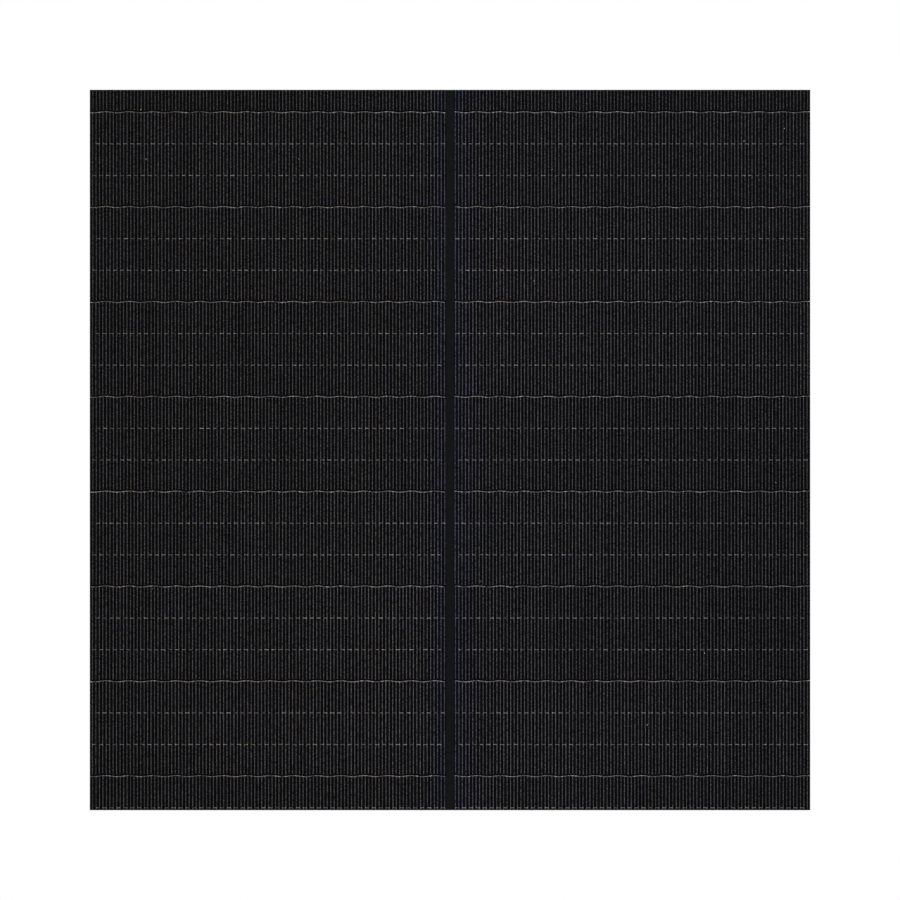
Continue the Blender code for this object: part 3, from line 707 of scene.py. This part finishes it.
def build_laminate():
    for bend in range(1, BENDS + 1):
        rows = rows_of(bend)
        film = layer_piece(bend, "front_film", PLATE_BASE, FILM_REAR, BAND)
        finish_bending(film, bend, "clear_film", *(f"front_laminate_{r}" for r in rows))
        strips = ([0] if bend == 1 else []) + rows + ([ROWS + 1] if bend == BENDS else [])
        cells = [f"cell_{side}_{s}" for s in strips for side in ("left", "right")]
        finish_bending(cell_piece(bend), bend, "foil_cell", *cells)
        finish_bending(conductor_piece(bend), bend, "foil_cell")
        back = layer_piece(bend, "back_sheet_skin", BACK_FRONT, BACK_REAR, BACKING, ridged=True)
        finish_bending(back, bend, "back_sheet", *(f"back_sheet_{r}" for r in rows))


# ---------------------------------------------------------------- junction box

ROUNDED = {                      # CAD piece: (edge rounding, shortest edge that is rounded)
    "box_base": (1.2 * MM, 12 * MM),
    "pressure_vent": (0.4 * MM, 2 * MM),
    "gland_body_plus": (0.25 * MM, 2 * MM),
    "gland_body_minus": (0.25 * MM, 2 * MM),
    "terminal_block_plus": (0.3 * MM, 3 * MM),
    "terminal_block_minus": (0.3 * MM, 3 * MM),
    "terminal_lever_plus": (0.5 * MM, 3 * MM),
    "terminal_lever_minus": (0.5 * MM, 3 * MM),
}
LARGEST_FACET = 60 * MM * MM     # of a curved surface; anything larger is flat
CURVED = (math.radians(2), math.radians(32))    # turn between two facets of a curved surface
SHARP = math.radians(40)         # an edge that turns more than this is a corner
LISTING_AXIS = Vector((1, 1.7, 2.3))    # faces are listed along it, in the same order every run
NUT_GROOVES = 36
NUT_PROFILE = [                  # share of the length, of the corner radius, depth of the grooves
    (0.00, 0.66, 0), (0.00, 0.86, 0), (0.06, 0.96, 0), (0.11, 1.00, 0), (0.55, 1.00, 0),
    (0.62, 0.93, 0), (0.66, 0.89, 0.2 * MM), (0.84, 0.83, 0.2 * MM), (0.90, 0.78, 0),
    (0.96, 0.70, 0), (1.00, 0.60, 0), (1.00, 0.52, 0), (0.97, 0.48, 0), (0.72, 0.48, 0),
    (0.72, 0.66, 0), (0.00, 0.66, 0),
]  # fmt: skip
MARK_X, MARK_TOP = 43 * MM, 18.5 * MM            # of the raised signs on the lid
MARK_REACH, MARK_HALF_BAR = 4.0 * MM, 0.6 * MM
PAINT_PROFILE = [(-0.02 * MM, 1.0), (0.03 * MM, 1.0), (0.06 * MM, 0.985)]    # rise, share
BEAD_RADIUS, BEAD_STEP = 1.1 * MM, 2.5 * MM
BEAD_UNEVEN = (0.8, 1.15)        # share of the radius from place to place
BEAD_AXIS = 0.55                 # its middle over the back sheet, in radii
BOX_OVER_PAD = 1 * MM            # how far the box's sides reach past its pad


def sharp_edges(work, shortest):
    return [
        edge
        for edge in work.edges
        if edge.is_manifold
        and edge.calc_face_angle() > SHARP
        and edge.calc_length() > shortest
    ]


def rounded_copy(node, radius, shortest):
    """A piece with the shape of a CAD piece and its longer sharp edges rounded."""
    source = frame["nodes"][node]
    work = bmesh.new()
    work.from_mesh(source.data)
    bmesh.ops.remove_doubles(work, verts=work.verts, dist=TINY)
    bmesh.ops.dissolve_limit(work, angle_limit=math.radians(1), verts=work.verts, edges=work.edges)
    for face in work.faces:
        turns = [edge.calc_face_angle(0) for edge in face.edges]
        curved = any(CURVED[0] < turn < CURVED[1] for turn in turns)
        face.smooth = curved and face.calc_area() < LARGEST_FACET
    rounding = bmesh.ops.bevel(
        work,
        geom=sharp_edges(work, shortest),
        offset=radius,
        segments=3,
        profile=0.5,
        affect="EDGES",
        clamp_overlap=True,
    )
    for face in rounding["faces"]:
        face.smooth = True
    bmesh.ops.dissolve_degenerate(work, dist=TINY, edges=work.edges)
    work.faces.sort(key=lambda face: face.calc_center_median().dot(LISTING_AXIS))
    mesh = bpy.data.meshes.new(f"{node}_rounded")
    work.to_mesh(mesh)
    work.free()
    mesh.set_sharp_from_angle(angle=CURVED[1])
    mesh.materials.append(SLOT_LOOKS[SLOT_OF[node]])
    piece = bpy.data.objects.new(mesh.name, mesh)
    bpy.context.scene.collection.objects.link(piece)
    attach(piece, source["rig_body"])
    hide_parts(node)


def hexagon(angle, corner):
    """Distance from the middle of a hexagon to its side, with a corner at angle 0."""
    sixth = math.radians(60)
    return corner * math.cos(sixth / 2) / math.cos(angle % sixth - sixth / 2)


def gland_nut(sign):
    """Hand nut of a cable gland: a hexagon with turned ends and a grooved dome."""
    node = f"gland_nut_{sign}"
    low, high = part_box(node)
    axis = joint_point(f"nut_{sign}_turn")
    half_y, half_z = (high.y - low.y) / 2, (high.z - low.z) / 2
    corner, first = max(half_y, half_z), 0.0 if half_y > half_z else math.radians(30)
    near, far = sorted((low.x, high.x), key=abs)
    rings = []
    for along, limit, groove in NUT_PROFILE:
        ring = []
        for i in range(4 * NUT_GROOVES):
            angle = math.tau * i / (4 * NUT_GROOVES)
            radius = min(corner * limit, hexagon(angle - first, corner))
            radius -= groove * (1 + math.cos(NUT_GROOVES * angle)) / 2
            ring.append(
                (
                    near + (far - near) * along,
                    axis.y + radius * math.cos(angle),
                    axis.z + radius * math.sin(angle),
                )
            )
        rings.append(ring[::-1] if far > 0 else ring)
    shape = Shape()
    shape.strip(rings, closed=True)
    nut = shape.build(f"{node}_turned", SLOT_LOOKS["black_plastic"], smooth=True)
    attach(nut, f"nut_{sign}")
    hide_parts(node)


def polarity_paint():
    """White tops of the raised plus and minus signs on the lid."""
    reach, half_bar = MARK_REACH, MARK_HALF_BAR
    quarter = [(reach, -half_bar), (reach, half_bar), (half_bar, half_bar)]
    plus = []
    for _ in range(4):
        plus += quarter
        quarter = [(-z, x) for x, z in quarter]
    minus = [(reach, -half_bar), (reach, half_bar), (-reach, half_bar), (-reach, -half_bar)]
    middle_z = joint_point("nut_plus_turn").z
    for sign, middle_x, outline in (("plus", MARK_X, plus), ("minus", -MARK_X, minus)):
        rings = [
            [(middle_x + x * share, MARK_TOP + rise, middle_z + z * share) for x, z in outline]
            for rise, share in PAINT_PROFILE
        ]
        shape = Shape()
        shape.strip(rings, closed=True, caps=True)
        paint = shape.build(f"paint_{sign}", SLOT_LOOKS["mark_paint"])
        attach(paint, "lid")


def sealant_bead():
    """Bead of sealant squeezed out round the foot of the junction box."""
    low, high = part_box("box_base")
    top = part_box("box_pad")[1].z + BOX_OVER_PAD     # the hinge's ears reach higher
    corners = [(low.x, low.z), (high.x, low.z), (high.x, top), (low.x, top)]
    curve = bpy.data.curves.new("sealant_bead", "CURVE")
    curve.dimensions = "3D"
    curve.bevel_depth, curve.bevel_resolution = BEAD_RADIUS, 4
    spline = curve.splines.new("POLY")
    draw = random.Random(12)
    points = []
    for (x0, z0), (x1, z1) in zip(corners, corners[1:] + corners[:1]):
        steps = round(math.dist((x0, z0), (x1, z1)) / BEAD_STEP)
        for i in range(steps):
            share = i / steps
            points.append((x0 + (x1 - x0) * share, z0 + (z1 - z0) * share))
    spline.points.add(len(points) - 1)
    for point, (x, z) in zip(spline.points, points):
        point.co = (x, BACK_REAR + BEAD_AXIS * BEAD_RADIUS, z, 1)
        point.radius = draw.uniform(*BEAD_UNEVEN)
    spline.use_cyclic_u = True
    bead = bpy.data.objects.new("sealant_bead", curve)
    bpy.context.scene.collection.objects.link(bead)
    curve.materials.append(SLOT_LOOKS["seal_rubber"])
    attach(bead, "top_row")


def build_box_pieces():
    for node, (radius, shortest) in ROUNDED.items():
        rounded_copy(node, radius, shortest)
    for sign in ("plus", "minus"):
        gland_nut(sign)
    polarity_paint()
    sealant_bead()


# ---------------------------------------------------------------- stage, lights and camera


def floor_material():
    """Pale and matt, and fading to the white of the surroundings well away from the object."""
    material, tree, shader = new_tree("pale_floor")
    tree.links.new(
        ramp(tree, grain(tree, 40.0, 5.0, "Object"), [(0.3, [0.78] * 3), (0.7, [0.82] * 3)]),
        shader.inputs["Base Color"],
    )
    shader.inputs["Roughness"].default_value = 0.8
    shader.inputs["Specular IOR Level"].default_value = 0.2
    place = add(tree, "ShaderNodeTexCoord")
    away = add(tree, "ShaderNodeVectorMath", operation="LENGTH")
    fade = add(tree, "ShaderNodeMapRange", interpolation_type="SMOOTHSTEP")
    fade.inputs["From Min"].default_value = FLOOR_NEAR
    fade.inputs["From Max"].default_value = FLOOR_FADE
    white = add(tree, "ShaderNodeEmission")
    path = add(tree, "ShaderNodeLightPath")
    tree.links.new(path.outputs["Is Camera Ray"], white.inputs["Strength"])
    mix = add(tree, "ShaderNodeMixShader")
    tree.links.new(place.outputs["Object"], away.inputs[0])
    tree.links.new(away.outputs["Value"], fade.inputs["Value"])
    tree.links.new(fade.outputs["Result"], mix.inputs["Fac"])
    tree.links.new(shader.outputs["BSDF"], mix.inputs[1])
    tree.links.new(white.outputs["Emission"], mix.inputs[2])
    tree.links.new(mix.outputs["Shader"], tree.nodes["Material Output"].inputs["Surface"])
    return material


def build_floor():
    bpy.ops.mesh.primitive_circle_add(
        vertices=96, radius=FLOOR_RADIUS, fill_type="NGON", location=(0, 0, FLOOR)
    )
    floor = bpy.context.active_object
    floor.name = "floor"
    floor.data.materials.append(floor_material())


def build_world():
    """White behind the object, and a softer grey light from all round."""
    world = bpy.data.worlds.new("studio")
    bpy.context.scene.world = world
    world.use_nodes = True
    tree = world.node_tree
    tree.nodes.clear()
    seen = add(tree, "ShaderNodeBackground", strength=1.0)
    seen.inputs["Color"].default_value = (1, 1, 1, 1)
    light = add(tree, "ShaderNodeBackground", strength=0.15)
    light.inputs["Color"].default_value = (1, 1, 1, 1)
    path = add(tree, "ShaderNodeLightPath")
    mix = add(tree, "ShaderNodeMixShader")
    out = add(tree, "ShaderNodeOutputWorld")
    tree.links.new(path.outputs["Is Camera Ray"], mix.inputs["Fac"])
    tree.links.new(light.outputs["Background"], mix.inputs[1])
    tree.links.new(seen.outputs["Background"], mix.inputs[2])
    tree.links.new(mix.outputs["Shader"], out.inputs["Surface"])


def area_light(name, place, size, power, colour):
    data = bpy.data.lights.new(name, "AREA")
    data.size, data.energy, data.color = size, power, colour
    light = bpy.data.objects.new(name, data)
    light.location = place
    middle = Vector((0, 0, (TOP + BOTTOM) / 2))
    light.rotation_euler = (middle - light.location).to_track_quat("-Z", "Y").to_euler()
    bpy.context.scene.collection.objects.link(light)


def build_lights():
    for light in LIGHTS:
        area_light(*light)
    sun = bpy.data.lights.new("overhead", "SUN")
    sun.energy, sun.angle = OVERHEAD_POWER, OVERHEAD_SPREAD
    overhead = bpy.data.objects.new("overhead", sun)
    bpy.context.scene.collection.objects.link(overhead)


def build_camera():
    """Square on to the face, which fills four fifths of the picture."""
    data = bpy.data.cameras.new("camera")
    data.lens, data.sensor_width = LENS, SENSOR
    across = (TOP - BOTTOM) / FRAME_SHARE
    distance = across * LENS / SENSOR
    camera = bpy.data.objects.new("camera", data)
    camera.location = (0, FILM_FRONT - distance, (TOP + BOTTOM) / 2)
    camera.rotation_euler = (math.pi / 2, 0, 0)
    bpy.context.scene.collection.objects.link(camera)
    bpy.context.scene.camera = camera
    bpy.context.scene.view_settings.view_transform = "Standard"


build_camera()
build_world()
build_lights()
build_floor()
dress_cad_nodes()
build_laminate()
build_box_pieces()
